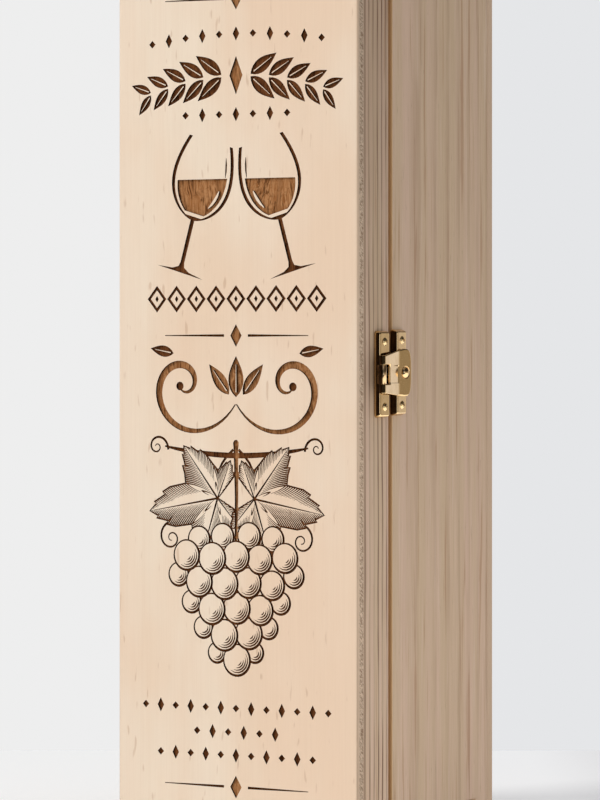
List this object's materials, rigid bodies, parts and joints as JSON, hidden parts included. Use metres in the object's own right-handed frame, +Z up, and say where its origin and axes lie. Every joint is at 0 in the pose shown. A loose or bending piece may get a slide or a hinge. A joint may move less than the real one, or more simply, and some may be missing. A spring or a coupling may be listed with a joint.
{
  "type": "wooden wine box",
  "caption": "Upright pine box for one wine bottle, with a hinged lid of engraved plywood and a brass hasp that snaps over a stud.",
  "frame": {"origin": "centre of the bottom end, on the surface that the box stands on", "axes": "+Z up the box, -Y out of the engraved lid, +X out of the side with the hasp"},
  "size_m": [0.1204, 0.105, 0.36],
  "materials": {
    "pine": "sanded bare pine, fine upright grain",
    "birch_plywood": "sanded bare birch plywood, laser engraved",
    "brass": "polished brass plate"
  },
  "bodies": {
    "case": {"left_side": "pine", "right_side": "pine", "top_end": "pine", "bottom_end": "pine", "back_panel": "birch_plywood", "upper_hinge_case_leaf": "brass", "upper_hinge_pin": "brass", "lower_hinge_case_leaf": "brass", "lower_hinge_pin": "brass", "hinge_case_screws": "brass", "keeper_plate": "brass", "keeper_stud": "brass", "keeper_screws": "brass"},
    "lid": {"lid_panel": "birch_plywood", "lid_left_rail": "pine", "lid_right_rail": "pine", "lid_top_rail": "pine", "lid_bottom_rail": "pine", "upper_hinge_lid_leaf": "brass", "lower_hinge_lid_leaf": "brass", "hinge_lid_screws": "brass", "catch_plate": "brass", "catch_screws": "brass", "hasp_pin": "brass"},
    "hasp": {"hasp": "brass"}
  },
  "joints": [
    {"name": "lid_hinge", "type": "hinge", "parent": "case", "child": "lid", "pos_m": [-0.0572, -0.02785, 0.18], "axis": [0, 0, -1], "range_deg": [0, 180]},
    {"name": "hasp_swing", "type": "hinge", "parent": "lid", "child": "hasp", "pos_m": [0.0593, -0.0408, 0.18], "axis": [0, 0, -1], "range_deg": [0, 180]}
  ]
}
